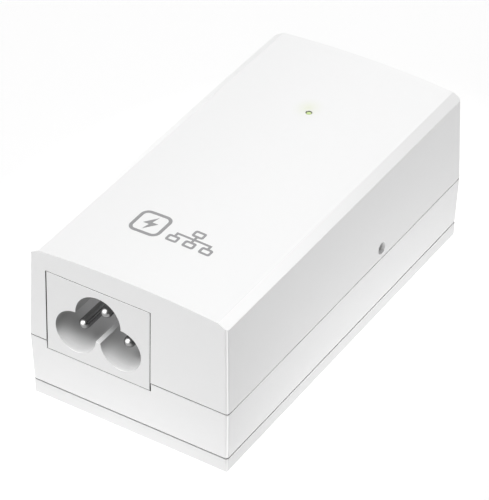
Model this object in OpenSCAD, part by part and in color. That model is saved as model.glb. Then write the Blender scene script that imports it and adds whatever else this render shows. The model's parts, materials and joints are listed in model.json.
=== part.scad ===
// PoE injector: a mains-fed power supply with two network jacks, in a two-part case on a wall bracket.
// Origin: centre of the footprint, on the underside of the bracket. +Y points to the network jacks,
// -Y to the mains inlet, +X to the side with the reset hole, +Z up.

/* [Case] */
// Width of the case at the parting line
case_w = 44.2; // [44:0.1:46]
// Length of the case at the parting line
case_l = 87.2; // [87:0.1:89]
// Overall height with the wall bracket fitted
case_h = 35.6; // [35.4:0.1:37]
// Height of the parting line between the two shells
seam_z = 14.6; // [14.4:0.1:14.8]
// Height where the long-edge chamfer starts
shoulder_z = 33.6; // [33.2:0.1:33.8]
// Half width of the crowned top between the chamfers
crown_half_w = 19.6; // [19.2:0.1:19.8]
// Rise of the crowned top over its width
crown_rise = 0.9; // [0.7:0.1:1.1]
// Thickness of the shell walls
wall = 2.0; // [1.8:0.1:2.1]
// Radius of the vertical corners
corner_r = 0.7; // [0.5:0.1:1]

/* [Bracket] */
// Height of the bracket slab
bracket_h = 3.5; // [3.4:0.05:3.6]
// Distance between the two wall screw holes
screw_spacing = 50; // [40:1:56]
// Radius of a wall screw hole
screw_hole_r = 2.1; // [1.6:0.1:2.3]
// How far the bracket slides to come free
bracket_travel = 5.0; // [4.8:0.1:5]

/* [Inlet] */
// X of the inlet's centre line
inlet_x = -6.4; // [-6.6:0.1:-6]
// Width of the inlet's face
inlet_w = 22.9; // [22.5:0.1:23]
// Height of the inlet's face
inlet_h = 17.8; // [17.5:0.1:18]
// Distance between the line pin and the neutral pin
pin_pitch = 10.0; // [9.8:0.1:10.2]
// Radius of a mains pin
pin_r = 1.15; // [1.1:0.05:1.25]
// Depth of the inlet's cavity
inlet_depth = 14.5; // [14:0.1:15]

/* [Openings] */
// Y of the status light hole
led_y = 20.4; // [20:0.1:21]
// Diameter of the status light hole
led_hole_d = 1.3; // [1.2:0.1:1.8]
// Y of the reset hole
reset_y = 12.0; // [11.5:0.1:12.5]
// Z of the reset hole
reset_z = 16.9; // [16.8:0.1:17.2]
// Diameter of the reset hole
reset_hole_d = 2.6; // [2.4:0.1:2.8]

/* [Hidden] */
$fn = 48;
upper_draft = 1.75;
lower_draft = 1.55;
bracket_draft = 3;
joint_gap = 0.1;
crown_r = (crown_half_w * crown_half_w + crown_rise * crown_rise) / (2 * crown_rise);
chamfer_slope = (case_h - crown_rise - shoulder_z) / (half_w(shoulder_z) - crown_half_w);
floor_z = bracket_h + 0.25;
board_t = 1.6;
board_z = seam_z - 1.7;
board_bottom = board_z - board_t;
tail_z = board_bottom - 1.5;
inlet_y = -case_l / 2;
pin_z = board_z + 6.5;
earth_z = pin_z + 4.8;
lobe_r = 4.5;
earth_lobe_r = 5.0;
inlet_back = 2.5;
shoulder_r = 1.6;
tip_recess = 2.2;
contact_pitch = 1.02;
jack_w = 15.9;
jack_h = 13.3;
jack_l = 17.6;
jack_x = 9.0;
jack_y = case_l / 2 - 0.45;
socket_z = board_z + 4.4;
sheet_t = 0.3;
switch_x = half_w(reset_z) - wall - 0.25;
switch_travel = 0.3;
button_l = 3.1;
post_d = 5;
screwed_posts = [[16.8, -38.6], [-17.0, 22.6]];
plain_posts = [[-16.8, -27.5], [16.8, 22.6]];
hook_x = 12.5;
hook_ys = [-22, 12];
neck_l = 3.0;
toe_l = 4.0;
hook_w = 2.4;

// Places of the inner components on the board
fuse_at = [11.4, -33.6];
varistor_at = [13.0, -26.4];
thermistor_at = [15.4, -17.6];
x_cap_at = [-11.0, -20.6];
choke_at = [4.4, -18.8];
bulk_cap_at = [-11.6, -9.2];
bridge_at = [-12.0, 1.2];
transformer_at = [4.4, -2.2];
heat_sink_at = [17.8, -3.0];
transistor_y = -3.0;
y_cap_at = [6.6, 11.6];
optocoupler_at = [-6.4, 8.2];
output_caps_at = [[-14.2, 7.6], [-14.2, 16.2]];
output_diode_at = [-7.0, 18.2];
output_choke_at = [9.6, 19.6];
controller_at = [6.0, -4.0];

// Half width and half length of the drafted case at a height
function draft_in(z) = z > seam_z ? (z - seam_z) * tan(upper_draft) : (seam_z - z) * tan(lower_draft);
function half_w(z) = case_w / 2 - draft_in(z);
function half_l(z) = case_l / 2 - draft_in(z);

// Where each lead goes through the board
function pair(at, pitch) = [[at[0] - pitch / 2, at[1]], [at[0] + pitch / 2, at[1]]];
function pair_y(at, pitch) = [[at[0], at[1] - pitch / 2], [at[0], at[1] + pitch / 2]];
function row_y(at, count, pitch) =
    [for (i = [0 : count - 1]) [at[0], at[1] + (i - (count - 1) / 2) * pitch]];
function square_of(at, dx, dy) = [for (sx = [-1, 1], sy = [-1, 1]) [at[0] + sx * dx / 2, at[1] + sy * dy / 2]];
fuse_leads = pair(fuse_at, 5.08);
varistor_leads = pair(varistor_at, 7.5);
thermistor_leads = pair_y(thermistor_at, 5);
x_cap_leads = pair(x_cap_at, 10);
choke_leads = square_of(choke_at, 9, 6);
bulk_cap_leads = pair_y(bulk_cap_at, 5);
bridge_leads = [for (i = [-1.5 : 1 : 1.5]) [bridge_at[0] + i * 3.5, bridge_at[1]]];
transistor_leads = row_y([heat_sink_at[0] - 3.4, transistor_y], 3, 2.54);
transformer_leads = [for (i = [-1.5 : 1 : 1.5], s = [-1, 1])
    [transformer_at[0] + i * 3.2, transformer_at[1] + s * 9.1]];
y_cap_leads = pair(y_cap_at, 7.5);
optocoupler_leads = square_of(optocoupler_at, 2.54, 7.6);
output_cap_leads = [for (at = output_caps_at) each pair_y(at, 3.5)];
diode_leads = pair_y(output_diode_at, 10.6);
output_choke_leads = pair(output_choke_at, 4);
contact_y = jack_y - 15.6;
ALL_LEADS = concat(fuse_leads, varistor_leads, thermistor_leads, x_cap_leads, choke_leads, bulk_cap_leads,
    bridge_leads, transistor_leads, transformer_leads, y_cap_leads, optocoupler_leads, output_cap_leads,
    diode_leads, output_choke_leads);

// ---- Shared shapes ----

// Cross-section of the upper half: drafted sides, a chamfer along each long edge and a crowned top
module upper_section(inset, low) {
    shoulder_w = half_w(shoulder_z) - inset;
    intersection() {
        polygon([
            [-shoulder_w, shoulder_z - inset], [-half_w(low) + inset, low],
            [half_w(low) - inset, low], [shoulder_w, shoulder_z - inset],
            [0, shoulder_z - inset + shoulder_w * chamfer_slope]
        ]);
        translate([0, case_h - crown_r]) circle(r = crown_r - inset, $fn = 720);
    }
}

// Cross-section with straight drafted sides between two heights
module drafted_section(half_low, half_high, low, high) {
    polygon([[-half_low, low], [half_low, low], [half_high, high], [-half_high, high]]);
}

module along_y(length) rotate([90, 0, 0]) linear_extrude(length, center = true) children();
module along_x(length) rotate([90, 0, 90]) linear_extrude(length, center = true) children();

// Rounds the four upright corners of a drafted block; rise is 1 above the parting line and -1 below
module corner_cuts(draft, rise) {
    lean = atan(tan(draft) * cos(draft));
    offset_in = corner_r / cos(draft);
    for (sx = [0, 1], sy = [0, 1]) mirror([sx, 0, 0]) mirror([0, sy, 0])
        translate([case_w / 2 - offset_in, case_l / 2 - offset_in, seam_z])
        rotate([lean * rise, -draft * rise, 0])
        difference() {
            translate([0, 0, rise > 0 ? -2 : -14]) cube([3, 3, rise > 0 ? 26 : 16]);
            translate([0, 0, rise > 0 ? -3 : -15]) cylinder(r = corner_r, h = rise > 0 ? 28 : 18);
        }
}

module upper_block(inset, low) {
    intersection() {
        along_y(case_l + 2) upper_section(inset, low);
        along_x(case_w + 2) drafted_section(half_l(low) - inset, half_l(case_h + 1) - inset, low, case_h + 1);
    }
}

module lower_block(inset, low, high) {
    intersection() {
        along_y(case_l + 2) drafted_section(half_w(low) - inset, half_w(high) - inset, low, high);
        along_x(case_w + 2) drafted_section(half_l(low) - inset, half_l(high) - inset, low, high);
    }
}

// Block centred on X and Y that stands on a height
module block(at, size) translate([at[0], at[1], at[2] + size[2] / 2]) cube(size, center = true);

// Openings through both shells for the inlet and the two jacks
module end_openings() {
    clear = joint_gap;
    inlet_clear = 0.18;
    translate([inlet_x - inlet_w / 2 - inlet_clear, inlet_y - 1, board_z - inlet_clear])
        cube([inlet_w + 2 * inlet_clear, wall + 4, inlet_h + 2 * inlet_clear]);
    for (s = [-1, 1])
        translate([s * jack_x - jack_w / 2 - clear, case_l / 2 - wall - 3, board_z - clear])
            cube([jack_w + 2 * clear, wall + 4, jack_h + 2 * clear]);
}

// Round leads from a height down through the board
module leads(places, top, d = 0.8) {
    for (p = places) translate([p[0], p[1], tail_z]) cylinder(d = d, h = top - tail_z, $fn = 16);
}

// ---- Case ----

// Rib on the side wall that holds the board down; its foot passes inside the lower shell's tongue
module hold_down_rib(y) {
    inner_x = half_w(seam_z) - wall - 1.6;
    translate([inner_x, y - 0.6, board_z + joint_gap]) cube([1.4, 1.2, 14]);
    translate([inner_x, y - 0.6, seam_z + 1.5]) cube([2.0, 1.2, 14]);
}

module top_shell() {
    color("white")
    difference() {
        union() {
            difference() {
                upper_block(0, seam_z + joint_gap);
                corner_cuts(upper_draft, 1);
                upper_block(wall, seam_z - 1);
                // Rabbet that takes the lower shell's tongue
                lower_block(1.0, seam_z - 1, seam_z + 1.5);
            }
            // Tube that holds the light pipe under the roof
            translate([0, led_y, 26]) cylinder(d = 5, h = 8);
            for (s = [0, 1], y = [-34, 26]) mirror([s, 0, 0]) hold_down_rib(y);
        }
        end_openings();
        translate([0, led_y, 20]) cylinder(d = led_hole_d, h = 20);
        translate([0, led_y, 20]) cylinder(d = 2.8, h = case_h - 1.6 - 20);
        translate([case_w / 2 - 4, reset_y, reset_z]) rotate([0, 90, 0]) cylinder(d = reset_hole_d, h = 8);
    }
}

module hook_slot_cut(at_y) {
    // Slot in the floor and the pocket above it, where a hook's toe slides over the floor
    slot_start = at_y - bracket_travel - 0.3;
    translate([hook_x - hook_w / 2 - 0.2, slot_start, floor_z - 1])
        cube([hook_w + 0.4, at_y + neck_l + 0.2 - slot_start, wall + 2]);
    translate([hook_x - hook_w / 2 - 0.2, slot_start, floor_z + wall])
        cube([hook_w + 0.4, at_y + neck_l + toe_l + 0.3 - slot_start, 2.0]);
}

module bottom_shell() {
    pocket_top = floor_z + wall + 3.0;
    color("white")
    difference() {
        union() {
            difference() {
                lower_block(0, floor_z, seam_z - joint_gap);
                corner_cuts(lower_draft, -1);
                lower_block(wall, floor_z + wall, seam_z + 1);
            }
            // Tongue that locates the upper shell
            difference() {
                lower_block(1.1, seam_z - 1.5, seam_z + 1.2);
                lower_block(wall, seam_z - 2, seam_z + 2);
            }
            for (p = concat(screwed_posts, plain_posts))
                translate([p[0], p[1], floor_z + 0.5]) cylinder(d = post_d, h = board_bottom - floor_z - 0.5);
            // Closed pockets over the bracket's hooks
            for (s = [0, 1], y = hook_ys) mirror([s, 0, 0])
                translate([hook_x - hook_w / 2 - 1.2, y - bracket_travel - 1.3, floor_z + 0.5])
                    cube([hook_w + 2.4, bracket_travel + neck_l + toe_l + 2.6, pocket_top - floor_z - 0.5]);
        }
        end_openings();
        for (s = [0, 1], y = hook_ys) mirror([s, 0, 0]) hook_slot_cut(y);
        for (p = screwed_posts) translate([p[0], p[1], floor_z + 1.2]) cylinder(d = 2.6, h = 12);
        // Groove that the bracket's detent runs in
        translate([-3.4, -41.2, floor_z - 1]) cube([6.8, 8.2, 1.7]);
    }
}

module bracket_slab() {
    top_w = half_w(bracket_h);
    top_l = half_l(bracket_h);
    slope = tan(bracket_draft);
    edge_r = 0.5;
    // Side outline with a rounded lower edge
    function outline(half) = concat(
        [[half, bracket_h]],
        [for (a = [0 : -15 : -90])
            [half - bracket_h * slope - edge_r + edge_r * cos(a) + edge_r * slope * (1 + sin(a)),
             edge_r + edge_r * sin(a)]]);
    function mirrored(points) = concat(points,
        [for (i = [len(points) - 1 : -1 : 0]) [-points[i][0], points[i][1]]]);
    difference() {
        intersection() {
            along_y(case_l + 2) polygon(mirrored(outline(top_w)));
            along_x(case_w + 2) polygon(mirrored(outline(top_l)));
        }
        for (sx = [0, 1], sy = [0, 1]) mirror([sx, 0, 0]) mirror([0, sy, 0])
            translate([top_w - corner_r, top_l - corner_r, 0]) difference() {
                translate([0, 0, -1]) cube([3, 3, 6]);
                translate([0, 0, -2]) cylinder(r = corner_r, h = 8);
            }
    }
}

module wall_bracket() {
    base_t = 1.6;
    rim_t = 2.2;
    tongue_y = -34.6;
    toe_z = floor_z + wall + 0.25;
    color("white") {
        difference() {
            union() {
                difference() {
                    bracket_slab();
                    translate([-case_w / 2 + rim_t + 0.4, -case_l / 2 + rim_t + 0.4, base_t])
                        cube([case_w - 2 * rim_t - 0.8, case_l - 2 * rim_t - 0.8, 5]);
                }
                // Stiffening ribs, across and along
                for (y = [-13, -5, 5, 28]) block([0, y, base_t - 0.4], [38, 1.2, 2.0]);
                for (x = [-8, 8]) block([x, 7, base_t - 0.4], [1.2, 66, 2.0]);
                for (s = [-1, 1]) translate([0, s * screw_spacing / 2, base_t - 0.4]) cylinder(d = 11, h = 1.6);
                // Sprung tongue's pad and detent
                block([0, tongue_y, base_t - 0.4], [5.4, 3, 2.2]);
                translate([-2.7, tongue_y, bracket_h - 0.35]) rotate([0, 90, 0]) cylinder(r = 0.8, h = 5.4);
            }
            for (s = [-1, 1]) translate([0, s * screw_spacing / 2, 0]) {
                translate([0, 0, -1]) cylinder(r = screw_hole_r, h = 8);
                translate([0, 0, base_t]) cylinder(r = 4.2, h = 8);
            }
            // U-shaped slit round the sprung tongue
            for (s = [-1, 1]) block([s * 4.6, tongue_y - 1.4, -1], [0.8, 7.2, 6]);
            block([0, tongue_y + 2.6, -1], [10, 0.8, 6]);
        }
        for (s = [0, 1], y = hook_ys) mirror([s, 0, 0]) {
            translate([hook_x - hook_w / 2, y, base_t - 0.4]) cube([hook_w, neck_l, toe_z - base_t + 1.8]);
            translate([hook_x - hook_w / 2, y, toe_z]) cube([hook_w, neck_l + toe_l, 1.4]);
        }
    }
}

// ---- Mains inlet ----

module cloverleaf(extra = 0) {
    for (s = [-1, 1]) translate([inlet_x + s * pin_pitch / 2, pin_z]) circle(r = lobe_r + extra);
    translate([inlet_x, pin_z + 4.7]) circle(r = earth_lobe_r + extra);
}

module inlet_housing() {
    color("gainsboro")
    difference() {
        // Flat front plate, level with the upper shell's end and carried straight down past the seam
        translate([inlet_x - inlet_w / 2, 0, 0]) rotate([90, 0, 90]) linear_extrude(inlet_w) polygon([
            [inlet_y + 0.02 - (seam_z - board_z) * tan(upper_draft), board_z],
            [inlet_y + inlet_depth + inlet_back, board_z],
            [inlet_y + inlet_depth + inlet_back, board_z + inlet_h],
            [inlet_y + 0.02 + draft_in(board_z + inlet_h), board_z + inlet_h]
        ]);
        translate([0, inlet_y + inlet_depth, 0]) rotate([90, 0, 0])
            linear_extrude(inlet_depth + 1) cloverleaf();
        for (p = [[-pin_pitch / 2, pin_z], [pin_pitch / 2, pin_z], [0, earth_z]])
            translate([inlet_x + p[0], inlet_y + 30, p[1]]) rotate([90, 0, 0]) cylinder(r = shoulder_r, h = 28);
    }
}

// Round pin with a domed tip, and a flat tail that turns down into the board
module mains_pin(x, z) {
    tip_y = inlet_y + tip_recess;
    root_y = inlet_y + inlet_depth;
    back_y = root_y + inlet_back;
    color("silver") {
        translate([x, root_y, z]) rotate([90, 0, 0]) cylinder(r = pin_r, h = root_y - tip_y - pin_r);
        translate([x, back_y + 1.4, z]) rotate([90, 0, 0]) cylinder(r = shoulder_r, h = inlet_back + 1.4);
        translate([x, tip_y + pin_r, z]) sphere(r = pin_r);
        translate([x - 1, back_y + 0.5, tail_z]) cube([2, 0.8, z - tail_z]);
    }
}

module line_pin() mains_pin(inlet_x - pin_pitch / 2, pin_z);
module neutral_pin() mains_pin(inlet_x + pin_pitch / 2, pin_z);
module earth_pin() mains_pin(inlet_x, earth_z);

// ---- Reset switch and status light ----

module reset_button() {
    color("dimgray") translate([switch_x - button_l, reset_y, reset_z]) rotate([0, 90, 0])
        cylinder(d = 3.3, h = button_l);
}

module reset_switch() {
    color("#222222")
    difference() {
        block([switch_x - 4.4, reset_y, board_z], [4.0, 6.2, 7.2]);
        translate([switch_x - button_l - switch_travel - 0.2, reset_y, reset_z]) rotate([0, 90, 0])
            cylinder(d = 3.5, h = 6);
    }
}

module switch_frame() {
    color("silver") {
        difference() {
            block([switch_x - 2.2, reset_y, board_z + 0.4], [0.3, 6.8, 6.8]);
            translate([switch_x - 4, reset_y, reset_z]) rotate([0, 90, 0]) cylinder(d = 3.6, h = 6);
        }
        for (s = [-1, 1])
            block([switch_x - 3.6, reset_y + s * 3.3, board_z], [3.0, 0.2, 5.0]);
    }
}

module light_pipe() {
    color("honeydew") {
        translate([0, led_y, board_z + 2.4]) cylinder(d = 2.6, h = case_h - 1.7 - board_z - 2.4);
        translate([0, led_y, case_h - 3]) cylinder(d = led_hole_d - 0.3, h = 2.85);
        translate([0, led_y, 24]) cylinder(d = 4.2, h = 1.4);
    }
}

module status_led() {
    color("white") {
        block([0, led_y, board_z], [3.5, 2.8, 1.4]);
        translate([0, led_y, board_z + 1.2]) cylinder(d = 2.2, h = 0.9);
    }
}

// ---- Board ----

module main_board() {
    lead_hole_d = 1.2;
    color("darkgreen")
    difference() {
        block([0, 0, board_bottom], [2 * 19.3, 2 * 40.9, board_t]);
        for (p = ALL_LEADS) translate([p[0], p[1], board_bottom - 1])
            cylinder(d = lead_hole_d, h = board_t + 2, $fn = 8);
        for (p = screwed_posts) translate([p[0], p[1], board_bottom - 1]) cylinder(d = 3.0, h = board_t + 2);
        for (x = [-pin_pitch / 2, 0, pin_pitch / 2])
            block([inlet_x + x, inlet_y + inlet_depth + inlet_back + 0.9, board_bottom - 1],
                [2.4, 1.2, board_t + 2]);
        for (s = [-1, 1]) block([s * jack_x, contact_y, board_bottom - 1], [9.2, 1.0, board_t + 2]);
    }
}

module board_screws() {
    color("silver") for (p = screwed_posts) translate([p[0], p[1], 0]) difference() {
        union() {
            translate([0, 0, floor_z + 1.8]) cylinder(d = 2.5, h = board_z - floor_z - 1.8);
            translate([0, 0, board_z]) cylinder(d = 4.8, h = 1.8);
        }
        for (a = [0, 90]) translate([0, 0, board_z + 1.8]) rotate(a) cube([3.2, 0.7, 1.6], center = true);
    }
}

module insulation_sheet() {
    color("ivory") difference() {
        block([0, -15, board_bottom - 2.3], [35, 48, 0.3]);
        for (p = concat(screwed_posts, plain_posts))
            translate([p[0], p[1], 0]) cylinder(d = post_d + 0.6, h = 20);
    }
}

// ---- Network jacks ----

// Opening of a jack: the plug's room, and the stepped room for its latch below
module plug_outline() {
    translate([-5.9, socket_z]) square([11.8, 6.8]);
    translate([-3.1, socket_z - 1.5]) square([6.2, 2]);
    translate([-1.7, socket_z - 2.6]) square([3.4, 2]);
}

module jack_housing(x) {
    body_l = 15.0;
    color("#2a2a2a") translate([x, 0, 0]) difference() {
        block([0, jack_y - sheet_t - body_l / 2, board_z], [jack_w - 2 * sheet_t, body_l, jack_h - sheet_t]);
        translate([0, jack_y + 1, 0]) rotate([90, 0, 0]) linear_extrude(13.5) plug_outline();
        // Open channel in the roof for the contacts
        translate([-4.4, jack_y - 20, socket_z + 6.6]) cube([8.8, 18.2, 3]);
    }
}

// Bent wire in the YZ plane, round at its bends
module wire_path(points, t) {
    for (i = [0 : len(points) - 2]) {
        step = points[i + 1] - points[i];
        translate(points[i]) rotate(atan2(step[1], step[0])) translate([0, -t / 2]) square([norm(step), t]);
    }
    for (p = points) translate(p) circle(d = t, $fn = 16);
}

module jack_contacts(x) {
    wire_t = 0.36;
    top = socket_z + 7.6;
    color("gold") for (i = [-3.5 : 1 : 3.5]) translate([x + i * contact_pitch, 0, 0])
        rotate([90, 0, 90]) linear_extrude(wire_t, center = true) wire_path([
            [contact_y, tail_z], [contact_y, top], [jack_y - 3.0, top],
            [jack_y - 2.5, top - 0.8], [jack_y - 9.5, socket_z + 4.6]
        ], wire_t);
}

module jack_shield(x) {
    color("silver") translate([x, 0, 0]) {
        difference() {
            block([0, jack_y - jack_l / 2, board_z], [jack_w, jack_l, jack_h]);
            block([0, jack_y - jack_l / 2, board_z - 1],
                [jack_w - 2 * sheet_t, jack_l - 2 * sheet_t, jack_h + 1 - sheet_t]);
            translate([0, jack_y + 1, 0]) rotate([90, 0, 0]) linear_extrude(2) union() {
                translate([-6.3, socket_z - 0.4]) square([12.6, 7.6]);
                translate([-3.6, socket_z - 3.0]) square([7.2, 4]);
            }
        }
        // Spring fingers that press on the case opening
        for (s = [-1, 1]) block([s * 3.6, jack_y - 6.5, board_z + jack_h - 0.05], [1.8, 4.5, 0.1]);
    }
}

module poe_jack_housing() jack_housing(-jack_x);
module lan_jack_housing() jack_housing(jack_x);
module poe_jack_contacts() jack_contacts(-jack_x);
module lan_jack_contacts() jack_contacts(jack_x);
module poe_jack_shield() jack_shield(-jack_x);
module lan_jack_shield() jack_shield(jack_x);

// ---- Mains side of the board ----

// Flat round component that stands on two leads
module disc_part(at, d, t, along_x_axis) {
    translate([at[0], at[1], board_z + 1.2 + d / 2]) rotate([90, 0, along_x_axis ? 90 : 0])
        cylinder(d = d, h = t, center = true);
}

module mains_fuse() {
    color("saddlebrown") {
        translate([fuse_at[0], fuse_at[1], board_z + 0.3]) cylinder(d = 8.4, h = 7.6);
        leads(fuse_leads, board_z + 1, 0.6);
    }
}

module surge_varistor() {
    color("royalblue") {
        disc_part(varistor_at, 9.6, 4.2, false);
        leads(varistor_leads, board_z + 4);
    }
}

module inrush_thermistor() {
    color("darkslategray") {
        disc_part(thermistor_at, 8.4, 3.8, true);
        leads(thermistor_leads, board_z + 3.5);
    }
}

module x_capacitor() {
    color("goldenrod") {
        block([x_cap_at[0], x_cap_at[1], board_z + 0.3], [13, 6, 12]);
        leads(x_cap_leads, board_z + 1);
    }
}

module choke_core() {
    color("#303030") translate([choke_at[0], choke_at[1], board_z + 9]) rotate([90, 0, 0])
        difference() {
            cylinder(r = 6.4, h = 5, center = true);
            cylinder(r = 3.6, h = 6, center = true);
        }
}

module choke_windings() {
    turns = 7;
    wire_d = 0.9;
    color("chocolate") {
        for (s = [-1, 1], i = [0 : turns - 1])
            translate([choke_at[0], choke_at[1], board_z + 9])
            rotate([0, (s > 0 ? 0 : 180) + (i - (turns - 1) / 2) * 17, 0])
            translate([5.0, 0, 0]) difference() {
                cube([3.0 + 2 * wire_d, 5.2 + 2 * wire_d, wire_d], center = true);
                cube([3.0, 5.2, 2], center = true);
            }
        leads(choke_leads, board_z + 5.8);
    }
}

module bridge_rectifier() {
    color("#262626") {
        block([bridge_at[0], bridge_at[1], board_z + 1.5], [13.4, 3.4, 10.5]);
        leads(bridge_leads, board_z + 2);
    }
}

module bulk_capacitor() {
    color("midnightblue") {
        translate([bulk_cap_at[0], bulk_cap_at[1], board_z + 0.2]) difference() {
            cylinder(d = 12.7, h = 17.6);
            translate([0, 0, 1.6]) rotate_extrude() translate([6.7, 0]) circle(r = 0.7, $fn = 24);
        }
        leads(bulk_cap_leads, board_z + 1);
    }
}

module heat_sink() {
    color("lightgray") difference() {
        union() {
            block([heat_sink_at[0], heat_sink_at[1], board_z + 0.2], [1.5, 17, 16.5]);
            for (y = [-8, -5.6, 5.6, 8])
                block([heat_sink_at[0] - 1.6, heat_sink_at[1] + y, board_z + 0.2], [2.0, 0.9, 16.5]);
        }
        translate([heat_sink_at[0], transistor_y, board_z + 13.6]) rotate([0, 90, 0])
            cylinder(r = 1.5, h = 6, center = true);
    }
}

module switching_transistor() {
    tab_x = heat_sink_at[0] - 0.75 - 0.65;
    color("#262626") {
        difference() {
            block([tab_x, transistor_y, board_z + 2.2], [1.3, 10, 14.2]);
            translate([tab_x, transistor_y, board_z + 13.6]) rotate([0, 90, 0])
                cylinder(r = 1.6, h = 4, center = true);
        }
        block([tab_x - 1.9, transistor_y, board_z + 2.2], [2.8, 10, 8.6]);
        leads(transistor_leads, board_z + 3);
    }
}

module heat_sink_screw() {
    color("silver") translate([heat_sink_at[0] + 0.75, transistor_y, board_z + 13.6]) rotate([0, -90, 0]) {
        cylinder(r = 1.4, h = 3.2);
        translate([0, 0, 2.85]) cylinder(r = 2.6, h = 1.6);
    }
}

module switching_controller() {
    color("#262626") {
        block([controller_at[0], controller_at[1], board_bottom - 1.4], [3.9, 4.9, 1.3]);
        for (s = [-1, 1], i = [-1.5 : 1 : 1.5])
            block([controller_at[0] + s * 2.5, controller_at[1] + i * 1.27, board_bottom - 0.6],
                [1.3, 0.4, 0.6]);
    }
}

// ---- Transformer ----

module transformer_bobbin() {
    color("#3a3a3a") difference() {
        union() {
            block([transformer_at[0], transformer_at[1], board_z + 0.4], [14.6, 9.8, 1.2]);
            for (s = [-1, 1]) {
                block([transformer_at[0], transformer_at[1] + s * 4.4, board_z + 0.4], [10.6, 1.0, 13.4]);
                block([transformer_at[0], transformer_at[1] + s * 8.6, board_z + 0.4], [13.6, 2.6, 3.0]);
                block([transformer_at[0], transformer_at[1] + s * 6.4, board_z + 0.4], [13.6, 3.4, 1.2]);
            }
            block([transformer_at[0], transformer_at[1], board_z + 4.4], [6.4, 8.8, 5.8]);
        }
        block([transformer_at[0], transformer_at[1], board_z + 5.0], [4.6, 30, 4.6]);
        for (p = transformer_leads) translate([p[0], p[1], board_z - 1]) cylinder(d = 0.8, h = 3.6, $fn = 16);
    }
}

module transformer_pins() {
    color("silver") leads(transformer_leads, board_z + 2.6);
}

module transformer_core() {
    core_z = board_z + 5.1;
    color("#454545") {
        for (s = [-1, 1]) {
            block([transformer_at[0], transformer_at[1] + s * 6.2, core_z], [16.4, 2.4, 4.4]);
            block([transformer_at[0] + s * 7.0, transformer_at[1], core_z], [2.4, 12.4, 4.4]);
        }
        block([transformer_at[0], transformer_at[1], core_z], [4.4, 12.4, 4.4]);
    }
}

module transformer_winding() {
    color("gold") {
        difference() {
            block([transformer_at[0], transformer_at[1], board_z + 2.0], [10.4, 7.6, 10.6]);
            block([transformer_at[0], transformer_at[1], board_z + 4.4], [6.4, 9, 5.8]);
        }
    }
}

// ---- Output side of the board ----

module y_capacitor() {
    color("deepskyblue") {
        disc_part(y_cap_at, 8.6, 4.0, false);
        leads(y_cap_leads, board_z + 4);
    }
}

module optocoupler() {
    color("#f4f4f0") {
        block([optocoupler_at[0], optocoupler_at[1], board_z + 0.5], [4.6, 6.4, 3.5]);
        for (p = optocoupler_leads) block([p[0], p[1], tail_z], [0.5, 0.5, board_z + 2.4 - tail_z]);
        for (x = [-1.27, 1.27])
            block([optocoupler_at[0] + x, optocoupler_at[1], board_z + 2.0], [1.2, 8.1, 0.4]);
    }
}

module output_diode() {
    lift = board_z + 3.2;
    color("#262626") {
        translate([output_diode_at[0], output_diode_at[1], lift]) rotate([90, 0, 0])
            cylinder(d = 5.2, h = 9.2, center = true);
        translate([output_diode_at[0], output_diode_at[1], lift]) rotate([90, 0, 0])
            cylinder(d = 1.0, h = 11.2, center = true, $fn = 16);
        leads(diode_leads, lift, 1.0);
    }
}

module output_capacitors() {
    color("darkslateblue") {
        for (at = output_caps_at) translate([at[0], at[1], board_z + 0.2]) difference() {
            cylinder(d = 8.2, h = 15);
            translate([0, 0, 1.4]) rotate_extrude() translate([4.4, 0]) circle(r = 0.6, $fn = 24);
        }
        leads(output_cap_leads, board_z + 1, 0.6);
    }
}

module output_choke() {
    color("#333333") {
        translate([output_choke_at[0], output_choke_at[1], board_z + 0.2]) difference() {
            cylinder(d = 8, h = 9);
            translate([0, 0, 1.4]) rotate_extrude() translate([3.4, 0]) square([2, 6.2]);
        }
        leads(output_choke_leads, board_z + 1);
    }
}

module data_transformer() {
    at = [0, 18.4];
    color("#262626") {
        block([at[0], at[1], board_bottom - 3.6], [12.4, 9.4, 3.4]);
        for (s = [-1, 1], i = [-5.5 : 1 : 5.5])
            block([at[0] + i * 1.0, at[1] + s * 5.2, board_bottom - 1.6], [0.5, 1.4, 1.6]);
    }
}

top_shell();
bottom_shell();
wall_bracket();
inlet_housing();
line_pin();
neutral_pin();
earth_pin();
reset_button();
reset_switch();
switch_frame();
light_pipe();
status_led();
main_board();
board_screws();
insulation_sheet();
poe_jack_housing();
poe_jack_contacts();
poe_jack_shield();
lan_jack_housing();
lan_jack_contacts();
lan_jack_shield();
mains_fuse();
surge_varistor();
inrush_thermistor();
x_capacitor();
choke_core();
choke_windings();
bridge_rectifier();
bulk_capacitor();
heat_sink();
switching_transistor();
heat_sink_screw();
switching_controller();
transformer_bobbin();
transformer_pins();
transformer_core();
transformer_winding();
y_capacitor();
optocoupler();
output_diode();
output_capacitors();
output_choke();
data_transformer();
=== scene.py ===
"""PoE injector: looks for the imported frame. Lengths are in metres, in the frame's own axes."""
import bmesh
import bpy
import json
import math
from mathutils import Matrix, Vector


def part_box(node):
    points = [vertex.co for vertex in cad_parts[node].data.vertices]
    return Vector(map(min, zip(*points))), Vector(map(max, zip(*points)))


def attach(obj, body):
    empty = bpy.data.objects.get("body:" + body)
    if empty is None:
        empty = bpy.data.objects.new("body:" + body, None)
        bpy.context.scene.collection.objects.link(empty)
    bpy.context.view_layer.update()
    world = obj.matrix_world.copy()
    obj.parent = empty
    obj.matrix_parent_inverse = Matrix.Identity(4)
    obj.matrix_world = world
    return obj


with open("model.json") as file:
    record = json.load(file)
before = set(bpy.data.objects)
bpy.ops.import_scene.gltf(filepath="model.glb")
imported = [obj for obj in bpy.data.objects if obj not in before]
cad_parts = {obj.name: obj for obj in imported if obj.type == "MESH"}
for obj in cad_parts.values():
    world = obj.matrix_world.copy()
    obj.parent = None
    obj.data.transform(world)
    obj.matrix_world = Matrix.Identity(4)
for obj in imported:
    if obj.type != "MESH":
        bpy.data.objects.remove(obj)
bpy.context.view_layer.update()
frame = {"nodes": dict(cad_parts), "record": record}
nodes = frame["nodes"]
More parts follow.
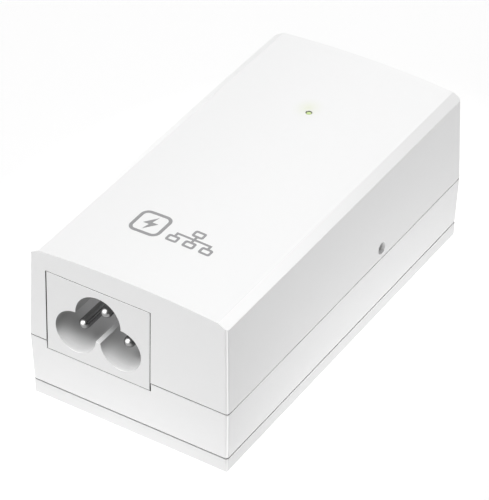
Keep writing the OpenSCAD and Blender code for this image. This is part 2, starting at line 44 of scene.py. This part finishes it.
MM = 0.001

# ---- Camera and view ----

CAMERA_AZIMUTH = 31.96
CAMERA_ELEVATION = 37.60
CAMERA_ROLL = 0.42
CAMERA_DISTANCE = 0.5659
CAMERA_AIM = Vector((0.0, -0.0029, 0.017))
CAMERA_LENS = 211.0


def make_camera():
    azimuth, elevation = math.radians(CAMERA_AZIMUTH), math.radians(CAMERA_ELEVATION)
    back = Vector((math.sin(azimuth) * math.cos(elevation), -math.cos(azimuth) * math.cos(elevation),
                   math.sin(elevation)))
    data = bpy.data.cameras.new("camera")
    data.lens = CAMERA_LENS
    data.sensor_width = 36.0
    data.clip_start, data.clip_end = 0.01, 20.0
    camera = bpy.data.objects.new("camera", data)
    bpy.context.scene.collection.objects.link(camera)
    turn = (-back).to_track_quat("-Z", "Y").to_matrix().to_4x4()
    roll = Matrix.Rotation(math.radians(CAMERA_ROLL), 4, "Z")
    camera.matrix_world = Matrix.Translation(CAMERA_AIM + back * CAMERA_DISTANCE) @ turn @ roll
    bpy.context.scene.camera = camera


# ---- Node helpers for materials ----

def new_material(name):
    material = bpy.data.materials.new(name)
    material.use_nodes = True
    return material, *shader_of(material)


def add_node(tree, kind, **values):
    node = tree.nodes.new(kind)
    for key, value in values.items():
        if key in node.inputs:
            node.inputs[key].default_value = value
        else:
            setattr(node, key, value)
    return node


def object_position(tree):
    return add_node(tree, "ShaderNodeTexCoord").outputs["Object"]


def ball_of_light(tree, kind, centre, radii):
    """Gradient from 1 at a centre to 0 at an ellipsoid round it."""
    mapping = add_node(tree, "ShaderNodeMapping", vector_type="TEXTURE")
    mapping.inputs["Location"].default_value = centre
    mapping.inputs["Scale"].default_value = radii
    tree.links.new(object_position(tree), mapping.inputs["Vector"])
    ball = add_node(tree, "ShaderNodeTexGradient", gradient_type=kind)
    tree.links.new(mapping.outputs["Vector"], ball.inputs["Vector"])
    return ball.outputs["Fac"]


def noise(tree, scale, detail=3.0):
    node = add_node(tree, "ShaderNodeTexNoise", Scale=scale, Detail=detail, Roughness=0.55)
    tree.links.new(object_position(tree), node.inputs["Vector"])
    return node.outputs["Fac"]


def span(tree, source, low, high):
    """Maps a value in 0..1 to the range low..high."""
    node = add_node(tree, "ShaderNodeMapRange")
    node.inputs["To Min"].default_value = low
    node.inputs["To Max"].default_value = high
    tree.links.new(source, node.inputs["Value"])
    return node.outputs["Result"]


def axis_of(tree, vector, axis):
    """One coordinate of a vector."""
    split = add_node(tree, "ShaderNodeSeparateXYZ")
    tree.links.new(vector, split.inputs["Vector"])
    return split.outputs[axis]


def calculate(tree, operation, value, amount=None):
    """Result of a Math node, with a constant as its second operand where one is given."""
    node = add_node(tree, "ShaderNodeMath", operation=operation)
    tree.links.new(value, node.inputs[0])
    if amount is not None:
        node.inputs[1].default_value = amount
    return node.outputs["Value"]


def combine(tree, operation, first, second):
    """Result of a Math node with two sockets as its operands."""
    node = add_node(tree, "ShaderNodeMath", operation=operation)
    tree.links.new(first, node.inputs[0])
    tree.links.new(second, node.inputs[1])
    return node.outputs["Value"]


def smooth_ramp(tree, value, low, high, top=1.0):
    """Goes smoothly from 0 where the value is low to top where it is high."""
    node = add_node(tree, "ShaderNodeMapRange", interpolation_type="SMOOTHSTEP")
    node.inputs["From Min"].default_value = low
    node.inputs["From Max"].default_value = high
    node.inputs["To Max"].default_value = top
    tree.links.new(value, node.inputs["Value"])
    return node.outputs["Result"]


def shader_of(material):
    tree = material.node_tree
    return tree, tree.nodes["Principled BSDF"]


def base_colour(shader):
    """Socket that feeds a shader's base colour."""
    return shader.inputs["Base Color"].links[0].from_socket


def emit_white(tree, shader, strength):
    shader.inputs["Emission Color"].default_value = (1.0, 1.0, 1.0, 1.0)
    tree.links.new(strength, shader.inputs["Emission Strength"])


def grey(value):
    return value, value, value


def mix_colour(tree, factor, first, second):
    node = add_node(tree, "ShaderNodeMix", data_type="RGBA")
    tree.links.new(factor, node.inputs["Factor"])
    for value, socket in ((first, node.inputs[6]), (second, node.inputs[7])):
        if isinstance(value, bpy.types.NodeSocket):
            tree.links.new(value, socket)
        else:
            socket.default_value = (*value, 1.0)
    return node.outputs[2]


def bump(tree, shader, height, distance):
    node = add_node(tree, "ShaderNodeBump", Strength=1.0, Distance=distance)
    tree.links.new(height, node.inputs["Height"])
    previous = shader.inputs["Normal"].links
    if previous:
        tree.links.new(previous[0].from_socket, node.inputs["Normal"])
    tree.links.new(node.outputs["Normal"], shader.inputs["Normal"])


DRIFT_SCALE = 0.12
COAT_ROUGHNESS = 0.12


def surface(name, colour, roughness, *, shift=0.06, grain=900.0, depth=0.00002, metallic=0.0,
            rough_spread=0.06, coat=0.0):
    """Moulded or plated surface: slight colour drift, fine grain in gloss and in relief."""
    material, tree, shader = new_material(name)
    darker = tuple(c * (1 - shift) for c in colour)
    drift = noise(tree, grain * DRIFT_SCALE, 2.0)
    fine = noise(tree, grain, 4.0)
    tree.links.new(mix_colour(tree, drift, darker, colour), shader.inputs["Base Color"])
    tree.links.new(span(tree, fine, roughness - rough_spread, roughness + rough_spread),
                   shader.inputs["Roughness"])
    shader.inputs["Metallic"].default_value = metallic
    if coat:
        shader.inputs["Coat Weight"].default_value = coat
        shader.inputs["Coat Roughness"].default_value = COAT_ROUGHNESS
    bump(tree, shader, fine, depth)
    return material


# ---- Materials of the outside ----

CASE_WHITE = grey(0.90)
BRACKET_WHITE = grey(0.84)
INLET_WHITE = grey(0.87)
# Painted shade for the faces that line the gap round the mains inlet
GAP_SHADE_GREY = grey(0.11)
MOULDED_GRAIN = dict(shift=0.012, grain=5200.0, depth=0.000006)
# Heights of the bracket's top and of the parting line, as the CAD has them
BRACKET_TOP = 3.5 * MM
SEAM_LOW, SEAM_HIGH = 14.5 * MM, 14.7 * MM
BAND_SLACK = 0.03 * MM
# Painted shade inside a joint line, given as its lightness: at the ends of the case, then along its sides
SEAM_SHADE = (grey(0.26), grey(0.84))
BASE_SHADE = (grey(0.62), grey(0.95))
# Distances from the case's end at which a joint line's painted shade starts to darken and is darkest
END_STARTS, END_FULL = 2.0 * MM, 0.6 * MM
CASE_REACH = 45 * MM
# Direction that an edge faces (all four corners alike), sharpness, strength
EDGE_GLINTS = [((0.77, 0.64, 0.0), 70.0, 0.42), ((0.0, 0.68, 0.73), 50.0, 0.24)]
CHAMFER_GLINT = ((0.497, 0.0, 0.868), 60.0, 0.19)
PIN_GLINT = ((0.08, 0.80, 0.60), 24.0, 1.6)
RIM_GLINT = ((0.0, 0.68, 0.73), 24.0, 0.8)
LAMP_GLINT = ((0.0, 0.0, 1.0), 4.0, 0.22)
# Glow that the status light leaves on the top: size and place from the lamp, in millimetres
LAMP_GLOW_SIZE, LAMP_GLOW_SHIFT = 4.4, Vector((-0.95, 1.34, 0.0))
LAMP_GLOW_COLOUR, LAMP_GLOW_SHARE = (0.767, 0.81, 0.573), 0.55
LAMP_GLOW_NARROWING = 0.85
LAMP_NEAR_GREEN, LAMP_FAR_GREEN = (0.22, 0.36, 0.04), (0.66, 0.76, 0.40)
# Wall of the lamp's hole: where its shade starts and is full, and its colour
WELL_STARTS, WELL_FULL = 0.27, 0.35
WELL_COLOUR = (0.26, 0.27, 0.22)
# Wall of the reset hole, painted light and shade: where it turns light, how much its mouth glows with painted
# light, and the colour of the painted shade at its inner end
MOUTH_STARTS, MOUTH_FULL = 21.0 * MM, 21.6 * MM
MOUTH_GLOW = 0.1
HOLE_INNER_SHADE = grey(0.62)


def facing(tree, direction, sharpness, strength):
    """Strength of a glint on whatever faces a direction, alike on the left and right, front and back."""
    normal = add_node(tree, "ShaderNodeNewGeometry").outputs["Normal"]
    joined = add_node(tree, "ShaderNodeCombineXYZ")
    for axis in "XY":
        tree.links.new(calculate(tree, "ABSOLUTE", axis_of(tree, normal, axis)), joined.inputs[axis])
    tree.links.new(axis_of(tree, normal, "Z"), joined.inputs["Z"])
    dot = add_node(tree, "ShaderNodeVectorMath", operation="DOT_PRODUCT")
    dot.inputs[1].default_value = Vector(direction).normalized()
    tree.links.new(joined.outputs["Vector"], dot.inputs[0])
    value = dot.outputs["Value"]
    for operation, amount in (("MAXIMUM", 0.0), ("POWER", sharpness), ("MULTIPLY", strength)):
        value = calculate(tree, operation, value, amount)
    return value


def towards_front(tree):
    """1 at the mains end of the case, 0 at the jacks."""
    return smooth_ramp(tree, axis_of(tree, object_position(tree), "Y"), CASE_REACH, -CASE_REACH)


def joint_lines():
    """Heights between which the gap over the bracket and the case's seam lie, and their shade."""
    return ((BRACKET_TOP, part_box("bottom_shell")[0].z, BASE_SHADE), (SEAM_LOW, SEAM_HIGH, SEAM_SHADE))


def at_ends(tree, half_length):
    """1 near the two ends of the case, 0 along its sides."""
    from_middle = calculate(tree, "ABSOLUTE", axis_of(tree, object_position(tree), "Y"))
    return smooth_ramp(tree, from_middle, half_length - END_STARTS, half_length - END_FULL)


def in_band(tree, low, high):
    """1 where a point's height lies between two heights."""
    height = axis_of(tree, object_position(tree), "Z")
    above = calculate(tree, "GREATER_THAN", height, low)
    below = calculate(tree, "LESS_THAN", height, high)
    return combine(tree, "MULTIPLY", above, below)


def case_plastic(name="case_plastic", colour=CASE_WHITE):
    """Fine-textured white plastic, with glints on its edges and shade inside the two joint lines."""
    material = surface(name, colour, 0.42, **MOULDED_GRAIN)
    tree, shader = shader_of(material)
    base = base_colour(shader)
    ends = at_ends(tree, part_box("bottom_shell")[1].y)
    for low, high, (end_grey, side_grey) in joint_lines():
        shade = mix_colour(tree, ends, side_grey, end_grey)
        base = mix_colour(tree, in_band(tree, low - BAND_SLACK, high + BAND_SLACK), base, shade)
    tree.links.new(base, shader.inputs["Base Color"])
    total = combine(tree, "MULTIPLY", facing(tree, *CHAMFER_GLINT), towards_front(tree))
    for glint in EDGE_GLINTS:
        total = combine(tree, "ADD", total, facing(tree, *glint))
    emit_white(tree, shader, total)
    return material


def lit_case_plastic(lamp):
    """Case plastic with the pale green glow that the status light leaves round its hole."""
    material = case_plastic()
    material.name = "case_plastic_lit"
    tree, shader = shader_of(material)
    plain = base_colour(shader)
    glow_size = LAMP_GLOW_SIZE * MM
    ball = ball_of_light(tree, "QUADRATIC_SPHERE", lamp + LAMP_GLOW_SHIFT * MM,
                         (glow_size * LAMP_GLOW_NARROWING, glow_size, glow_size))
    amount = span(tree, ball, 0.0, LAMP_GLOW_SHARE)
    glowing = mix_colour(tree, amount, plain, LAMP_GLOW_COLOUR)
    # The hole's own wall is in shade
    well = ball_of_light(tree, "SPHERICAL", lamp, (MM, MM, 2 * MM))
    shade = add_node(tree, "ShaderNodeMapRange")
    shade.inputs["From Min"].default_value = WELL_STARTS
    shade.inputs["From Max"].default_value = WELL_FULL
    tree.links.new(well, shade.inputs["Value"])
    tree.links.new(mix_colour(tree, shade.outputs["Result"], glowing, WELL_COLOUR),
                   shader.inputs["Base Color"])
    return material


def lamp_plastic():
    """Clear plastic of the light pipe, lit green from below: palest on the far side of its face."""
    material, tree, shader = new_material("lamp_plastic")
    across = axis_of(tree, add_node(tree, "ShaderNodeTexCoord").outputs["Generated"], "Y")
    tint = mix_colour(tree, across, LAMP_NEAR_GREEN, LAMP_FAR_GREEN)
    tree.links.new(tint, shader.inputs["Base Color"])
    tree.links.new(tint, shader.inputs["Emission Color"])
    shader.inputs["Roughness"].default_value = 0.18
    tree.links.new(facing(tree, *LAMP_GLINT), shader.inputs["Emission Strength"])
    bump(tree, shader, noise(tree, 1800.0), 0.00003)
    return material


def ink():
    return surface("printed_ink", (0.33, 0.33, 0.335), 0.5, shift=0.03, grain=6000.0, depth=0.000004)


def nickel():
    """Plated metal of the mains pins, in a grey darker than bare nickel as painted shade for the dark socket
    it reflects, with one painted round glint on each domed tip.
    """
    material = surface("pin_nickel", grey(0.30), 0.24, shift=0.03, grain=2600.0, depth=0.000003,
                       metallic=1.0, rough_spread=0.05)
    tree, shader = shader_of(material)
    emit_white(tree, shader, facing(tree, *PIN_GLINT))
    return material


# Distances inwards from the inlet's front: where the socket's wall starts to turn from its mouth's painted
# shade to its inner painted shade and where it has turned, then where the painted light on walls that face up
# ends and where it is full
SOCKET_SHADE_STARTS, SOCKET_DEPTH = 0.6 * MM, 11 * MM
SOCKET_LIT_ENDS, SOCKET_LIT_FULL = 6.5 * MM, -1.0 * MM
# Y of the normal from the front face to the socket's wall, and Z of the normal from a level wall to its floor
FACES_INWARDS = (-0.7, -0.3)
FACES_UPWARDS = (-0.1, 0.9)
SOCKET_MOUTH_SHADE, SOCKET_DEEP_SHADE, SOCKET_LIT_GREY = grey(0.32), (0.52, 0.52, 0.525), grey(0.94)
# Strengths of the painted glow deep in the socket and on its lit walls
SOCKET_DEEP_GLOW, SOCKET_LIT_GLOW = 0.09, 0.30


def inlet_plastic(front):
    """White plastic of the mains inlet, with painted shade by depth and painted light by which way the
    socket's wall faces.
    """
    material = surface("inlet_plastic", INLET_WHITE, 0.38, shift=0.015, grain=4800.0, depth=0.000005)
    tree, shader = shader_of(material)
    plain = base_colour(shader)
    along = axis_of(tree, object_position(tree), "Y")
    normal = add_node(tree, "ShaderNodeNewGeometry").outputs["Normal"]
    inside = smooth_ramp(tree, axis_of(tree, normal, "Y"), *FACES_INWARDS)
    upwards = smooth_ramp(tree, axis_of(tree, normal, "Z"), *FACES_UPWARDS)
    deep = smooth_ramp(tree, along, front + SOCKET_SHADE_STARTS, front + SOCKET_DEPTH)
    near = smooth_ramp(tree, along, front + SOCKET_LIT_ENDS, front + SOCKET_LIT_FULL)
    lit = combine(tree, "MULTIPLY", upwards, near)
    wall = mix_colour(tree, deep, SOCKET_MOUTH_SHADE, SOCKET_DEEP_SHADE)
    wall = mix_colour(tree, lit, wall, SOCKET_LIT_GREY)
    tree.links.new(mix_colour(tree, inside, plain, wall), shader.inputs["Base Color"])
    glow = facing(tree, *RIM_GLINT)
    lit_inside = combine(tree, "MULTIPLY", lit, inside)
    for amount, strength in ((deep, SOCKET_DEEP_GLOW), (lit_inside, SOCKET_LIT_GLOW)):
        glow = combine(tree, "ADD", glow, calculate(tree, "MULTIPLY", amount, strength))
    emit_white(tree, shader, glow)
    return material


def hole_wall():
    """Wall of the reset hole, with painted light at its mouth and painted shade, darker, at its inner end."""
    material = surface("hole_wall", CASE_WHITE, 0.5, **MOULDED_GRAIN)
    tree, shader = shader_of(material)
    plain = base_colour(shader)
    glow = smooth_ramp(tree, axis_of(tree, object_position(tree), "X"), MOUTH_STARTS, MOUTH_FULL, MOUTH_GLOW)
    share = calculate(tree, "MULTIPLY", glow, 1 / MOUTH_GLOW)
    tree.links.new(mix_colour(tree, share, HOLE_INNER_SHADE, plain), shader.inputs["Base Color"])
    emit_white(tree, shader, glow)
    return material


# Slot name: colour, roughness, keyword settings of surface()
SLOT_LOOKS = {
    "button_plastic": (grey(0.48), 0.45, dict()),
    "black_plastic": ((0.022, 0.022, 0.024), 0.38, dict(shift=0.2, grain=2600.0, depth=0.00001)),
    "shield_steel": ((0.66, 0.66, 0.64), 0.27, dict(metallic=1.0, grain=1500.0, depth=0.000008)),
    "contact_gold": ((0.94, 0.66, 0.26), 0.2, dict(metallic=1.0, grain=2200.0, depth=0.000004)),
    "led_body": ((0.82, 0.85, 0.66), 0.35, dict()),
    "board_laminate": ((0.012, 0.11, 0.04), 0.3, dict(shift=0.25, grain=420.0, coat=0.4)),
    "screw_steel": ((0.6, 0.6, 0.62), 0.3, dict(metallic=1.0, grain=1800.0)),
    "fibre_sheet": ((0.72, 0.68, 0.52), 0.5, dict(shift=0.1, grain=700.0)),
    "fuse_brown": ((0.09, 0.045, 0.025), 0.4, dict(shift=0.2)),
    "varistor_blue": ((0.02, 0.07, 0.32), 0.28, dict(shift=0.15, grain=300.0, depth=0.0001, coat=0.5)),
    "thermistor_grey": ((0.03, 0.05, 0.045), 0.32, dict(shift=0.15, grain=300.0, depth=0.0001, coat=0.4)),
    "film_yellow": ((0.72, 0.42, 0.05), 0.42, dict(shift=0.06)),
    "ferrite": ((0.045, 0.045, 0.05), 0.62, dict(shift=0.3, grain=1500.0, depth=0.00003)),
    "copper_wire": ((0.62, 0.24, 0.08), 0.25, dict(metallic=1.0, coat=0.6, grain=1500.0)),
    "capacitor_sleeve": ((0.01, 0.016, 0.07), 0.24, dict(shift=0.1, grain=500.0, coat=0.5)),
    "sink_aluminium": ((0.78, 0.78, 0.78), 0.36, dict(metallic=1.0, grain=1100.0)),
    "component_black": ((0.02, 0.02, 0.021), 0.55, dict(shift=0.2, grain=2400.0, depth=0.00002)),
    "winding_tape": ((0.75, 0.50, 0.04), 0.25, dict(shift=0.08, grain=500.0, coat=0.5)),
    "disc_blue": ((0.03, 0.22, 0.5), 0.26, dict(shift=0.12, grain=300.0, depth=0.0001, coat=0.5)),
    "opto_white": ((0.78, 0.78, 0.74), 0.5, dict(shift=0.04)),
}


def make_materials():
    lamp_low, lamp_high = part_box("light_pipe")
    lamp_tip = Vector(((lamp_low.x + lamp_high.x) / 2, (lamp_low.y + lamp_high.y) / 2, lamp_high.z))
    made = {slot: surface(slot, colour, roughness, **more)
            for slot, (colour, roughness, more) in SLOT_LOOKS.items()}
    made["case_plastic"] = case_plastic()
    made["bracket_plastic"] = case_plastic("bracket_plastic", BRACKET_WHITE)
    made["gap_shade"] = surface("gap_shade", GAP_SHADE_GREY, 0.6)
    made["hole_wall"] = hole_wall()
    made["case_plastic_lit"] = lit_case_plastic(lamp_tip)
    made["clear_acrylic"] = lamp_plastic()
    made["inlet_plastic"] = inlet_plastic(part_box("inlet_housing")[0].y)
    made["pin_nickel"] = nickel()
    made["printed_ink"] = ink()
    return made


def dress(obj, material):
    obj.data.materials.clear()
    obj.data.materials.append(material)


def dress_nodes(materials):
    for part in frame["record"]["subparts"]:
        dress(nodes[part["node"]], materials[part["material_slot"]])
    dress(nodes["top_shell"], materials["case_plastic_lit"])
    dress(nodes["wall_bracket"], materials["bracket_plastic"])
    shade_inlet_gap(materials["gap_shade"])
    light_reset_hole(materials["hole_wall"])


# Faces of the gap round the inlet: how far off its outline they lie, how deep in the shells, how far they may
# lean along the case, and how squarely they must face the inlet
GAP_SLACK = 0.3 * MM
GAP_DEPTH = 6 * MM
MOST_LEAN = 0.1
SQUARE_ON = 0.9
# Faces of the reset hole: how far from its middle line they lie, and how far they may face along it
HOLE_REACH = 1.5 * MM
HOLE_LEAN = 0.5


def shade_inlet_gap(material):
    """Second material, a painted shade, on the faces that line the thin gap round the mains inlet."""
    low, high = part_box("inlet_housing")
    slack = GAP_SLACK
    for name in ("inlet_housing", "top_shell", "bottom_shell"):
        mesh = nodes[name].data
        mesh.materials.append(material)
        for polygon in mesh.polygons:
            at, normal = polygon.center, polygon.normal
            if abs(normal.y) > MOST_LEAN or at.y > low.y + GAP_DEPTH and name != "inlet_housing":
                continue
            by_side = abs(normal.x) > SQUARE_ON and min(abs(at.x - low.x), abs(at.x - high.x)) < slack
            by_end = abs(normal.z) > SQUARE_ON and min(abs(at.z - low.z), abs(at.z - high.z)) < slack
            inside = low.x - slack < at.x < high.x + slack and low.z - slack < at.z < high.z + slack
            if inside and (by_side or by_end):
                polygon.material_index = 1


def light_reset_hole(material):
    """Third material, with painted light and shade, on the wall of the reset hole."""
    low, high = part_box("reset_button")
    middle = (low + high) / 2
    mesh = nodes["top_shell"].data
    mesh.materials.append(material)
    slot = len(mesh.materials) - 1
    for polygon in mesh.polygons:
        at = polygon.center
        away = math.hypot(at.y - middle.y, at.z - middle.z)
        if at.x > high.x and abs(polygon.normal.x) < HOLE_LEAN and away < HOLE_REACH:
            polygon.material_index = slot


# ---- Edges of the CAD pieces ----

WELD_DISTANCE = 0.002 * MM
FLAT_ANGLE = math.radians(0.4)
ROUNDED_ANGLE = math.radians(25.0)
ROUND_SEGMENTS = 3
NORMAL_WEIGHT = 60


def soften(name, width):
    """Rounds a CAD node's edges with modifiers, which leave its own mesh as it is."""
    obj = nodes[name]
    weld = obj.modifiers.new("weld", "WELD")
    weld.merge_threshold = WELD_DISTANCE
    flat = obj.modifiers.new("flat", "DECIMATE")
    flat.decimate_type = "DISSOLVE"
    flat.angle_limit = FLAT_ANGLE
    bevel = obj.modifiers.new("bevel", "BEVEL")
    bevel.width = width
    bevel.segments = ROUND_SEGMENTS
    bevel.limit_method = "ANGLE"
    bevel.angle_limit = ROUNDED_ANGLE
    bevel.use_clamp_overlap = True
    bevel.harden_normals = True
    for polygon in obj.data.polygons:
        polygon.use_smooth = True
    weighted = obj.modifiers.new("weighted", "WEIGHTED_NORMAL")
    weighted.keep_sharp = True
    weighted.weight = NORMAL_WEIGHT


EDGE_WIDTHS = {
    "top_shell": 0.22 * MM, "bottom_shell": 0.16 * MM, "wall_bracket": 0.18 * MM, "inlet_housing": 0.15 * MM,
    "line_pin": 0.1 * MM, "neutral_pin": 0.1 * MM, "earth_pin": 0.1 * MM, "reset_button": 0.2 * MM,
    "poe_jack_housing": 0.12 * MM, "lan_jack_housing": 0.12 * MM, "poe_jack_shield": 0.08 * MM,
    "lan_jack_shield": 0.08 * MM, "heat_sink": 0.1 * MM, "x_capacitor": 0.4 * MM, "mains_fuse": 0.4 * MM,
    "surge_varistor": 1.2 * MM, "inrush_thermistor": 1.1 * MM, "y_capacitor": 1.1 * MM,
    "bulk_capacitor": 0.3 * MM, "output_capacitors": 0.3 * MM, "transformer_core": 0.15 * MM,
    "transformer_winding": 0.5 * MM, "choke_core": 0.4 * MM, "switching_transistor": 0.15 * MM,
    "bridge_rectifier": 0.3 * MM, "optocoupler": 0.15 * MM, "output_diode": 0.3 * MM,
    "heat_sink_screw": 0.25 * MM, "board_screws": 0.3 * MM, "data_transformer": 0.12 * MM,
}


# ---- Printed pictogram on the top ----

CROWN_HALF = 19.6 * MM
CROWN_RISE = 0.9 * MM
# The print is cut into strips across the crown, so that it can follow it, and stands a film's height proud
PRINT_STRIP = 0.8 * MM
PRINT_STRIPS_EACH_SIDE = 13
PRINT_FILM = 0.03 * MM


def crown_height(x):
    """Height of the case's crowned top at a distance from its centre line."""
    radius = (CROWN_HALF ** 2 + CROWN_RISE ** 2) / (2 * CROWN_RISE)
    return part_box("top_shell")[1].z - radius + math.sqrt(radius ** 2 - x ** 2)


def rounded_box(cx, cy, width, height, radius, steps=6):
    """Corner points of a rounded rectangle, counter-clockwise, in millimetres."""
    points = []
    for quarter in range(4):
        sx = 1 if quarter in (0, 3) else -1
        sy = 1 if quarter in (0, 1) else -1
        for i in range(steps + 1):
            a = math.pi / 2 * (quarter + i / steps)
            points.append((cx + sx * (width / 2 - radius) + radius * math.cos(a),
                           cy + sy * (height / 2 - radius) + radius * math.sin(a)))
    return points


def add_outline(bm, outer, inner=None):
    """Flat face from an outline, or a flat ring between two outlines with as many points."""
    verts = [bm.verts.new((x * MM, y * MM, 0)) for x, y in outer]
    if inner is None:
        bm.faces.new(verts)
        return
    holes = [bm.verts.new((x * MM, y * MM, 0)) for x, y in inner]
    for i in range(len(verts)):
        j = (i + 1) % len(verts)
        bm.faces.new((verts[i], verts[j], holes[j], holes[i]))


def pictogram():
    """Generic symbols in grey ink: a bolt in a frame, then a small network of a hub and three boxes."""
    bm = bmesh.new()
    badge_x, row_y, stroke = -6.2, -25.8, 0.496
    add_outline(bm, rounded_box(badge_x, row_y, 6.8, 6.8, 1.7), rounded_box(badge_x, row_y, 5.4, 5.4, 1.0))
    bolt = [(0.55, 2.15), (-1.45, -0.35), (-0.15, -0.35), (-0.55, -2.15), (1.45, 0.35), (0.15, 0.35)]
    add_outline(bm, [(badge_x + x, row_y + y) for x, y in bolt])
    hub_x, hub_y, leg_y = 3.4, row_y + 1.75, row_y - 1.75
    leg_xs = (-0.2, 3.4, 7.0)
    box_w, box_h = 2.5, 1.9
    for x, y in [(hub_x, hub_y)] + [(x, leg_y) for x in leg_xs]:
        add_outline(bm, rounded_box(x, y, box_w, box_h, 0.45),
                    rounded_box(x, y, box_w - 2 * stroke, box_h - 2 * stroke, 0.2))
    bus_y = (hub_y + leg_y) / 2
    half = stroke / 2
    add_outline(bm, [(leg_xs[0] - half, bus_y - half), (leg_xs[2] + half, bus_y - half),
                     (leg_xs[2] + half, bus_y + half), (leg_xs[0] - half, bus_y + half)])
    stubs = [(hub_x, hub_y - box_h / 2, bus_y + half)]
    stubs += [(x, bus_y - half, leg_y + box_h / 2) for x in leg_xs]
    for x, top, bottom in stubs:
        add_outline(bm, [(x - half, bottom), (x + half, bottom), (x + half, top), (x - half, top)])
    return bm


def print_pictogram(material):
    """Lays the pictogram on the crowned top as a thin solid film."""
    bm = pictogram()
    for i in range(-PRINT_STRIPS_EACH_SIDE, PRINT_STRIPS_EACH_SIDE + 1):
        bmesh.ops.bisect_plane(bm, geom=bm.verts[:] + bm.edges[:] + bm.faces[:],
                               plane_co=(i * PRINT_STRIP, 0, 0), plane_no=(1, 0, 0))
    bmesh.ops.recalc_face_normals(bm, faces=bm.faces[:])
    for face in bm.faces:
        if face.normal.z < 0:
            face.normal_flip()
    lower = bm.faces[:]
    raised = bmesh.ops.extrude_face_region(bm, geom=lower, use_keep_orig=True)
    tops = {e for e in raised["geom"] if isinstance(e, bmesh.types.BMVert)}
    for vert in bm.verts:
        vert.co.z = crown_height(vert.co.x) + (PRINT_FILM if vert in tops else -PRINT_FILM)
    for face in lower:
        face.normal_flip()
    mesh = bpy.data.meshes.new("printed_pictogram")
    bm.to_mesh(mesh)
    bm.free()
    obj = bpy.data.objects.new("printed_pictogram", mesh)
    bpy.context.scene.collection.objects.link(obj)
    dress(obj, material)
    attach(obj, "case")


# ---- Floor and light ----

FLOOR_SIZE = 2.5
FLOOR_DROP = 0.05 * MM
FLOOR_GREY = 0.35
# Light that the floor gives off: everywhere, and what is added under the object
FLOOR_GLOW = 0.615
NEAR_GLOW = 0.58
# Reach of the added light along X and Y, and the share of it at which it is full
POOL_RADII = (0.07, 0.095, 1.0)
POOL_FULL_AT = 0.7


def pool_of_light(tree):
    """Strength of the floor's own light, greatest under the object."""
    spread = add_node(tree, "ShaderNodeMapRange", interpolation_type="SMOOTHSTEP")
    spread.inputs["From Max"].default_value = POOL_FULL_AT
    spread.inputs["To Min"].default_value = FLOOR_GLOW
    spread.inputs["To Max"].default_value = FLOOR_GLOW + NEAR_GLOW
    tree.links.new(ball_of_light(tree, "SPHERICAL", (0.0, 0.0, 0.0), POOL_RADII), spread.inputs["Value"])
    return spread.outputs["Result"]


def make_floor():
    bm = bmesh.new()
    bmesh.ops.create_grid(bm, x_segments=8, y_segments=8, size=FLOOR_SIZE)
    mesh = bpy.data.meshes.new("floor")
    bm.to_mesh(mesh)
    bm.free()
    floor = bpy.data.objects.new("floor", mesh)
    floor.location.z = -FLOOR_DROP
    bpy.context.scene.collection.objects.link(floor)
    material, tree, shader = new_material("floor_white")
    shader.inputs["Base Color"].default_value = (*grey(FLOOR_GREY), 1.0)
    shader.inputs["Roughness"].default_value = 0.9
    emit_white(tree, shader, pool_of_light(tree))
    dress(floor, material)


def area_light(name, place, target, across, up, power):
    data = bpy.data.lights.new(name, "AREA")
    data.shape = "RECTANGLE"
    data.size = across
    data.size_y = up
    data.energy = power
    light = bpy.data.objects.new(name, data)
    light.location = place
    light.rotation_mode = "QUATERNION"
    light.rotation_quaternion = (Vector(target) - Vector(place)).to_track_quat("-Z", "Y")
    bpy.context.scene.collection.objects.link(light)
    light.visible_camera = False


WORLD_STRENGTH = 0.02
# Name: place, target, size across, size up (metres), power (watts)
SOFTBOXES = {
    "overhead": ((-0.1, 0.15, 0.75), (0, 0, 0), 0.5, 0.5, 3.2),
    "front": ((-0.1, -0.7, 0.25), (0, 0, 0.02), 0.6, 0.4, 0.46),
    "low_right": ((0.085, 0.01, 0.004), (0.022, 0.01, 0.008), 0.16, 0.008, 0.004),
    "far_right": ((0.30, 0.38, 0.10), (0, 0, 0.02), 0.3, 0.2, 0.52),
    "front_high": ((-0.12, -0.45, 0.6), (0, 0, 0.02), 0.3, 0.3, 2.4),
    "back_high": ((-0.15, 0.5, 0.6), (0, 0, 0.02), 0.4, 0.4, 1.2),
}


def make_lights():
    world = bpy.data.worlds.new("studio")
    world.use_nodes = True
    background = world.node_tree.nodes["Background"]
    background.inputs["Color"].default_value = (1.0, 1.0, 1.0, 1.0)
    background.inputs["Strength"].default_value = WORLD_STRENGTH
    bpy.context.scene.world = world
    for name, (place, target, across, up, power) in SOFTBOXES.items():
        area_light(name, place, target, across, up, power)
    bpy.context.scene.view_settings.view_transform = "Standard"


make_camera()
materials = make_materials()
dress_nodes(materials)
for node_name, edge_width in EDGE_WIDTHS.items():
    soften(node_name, edge_width)
print_pictogram(materials["printed_ink"])
make_floor()
make_lights()
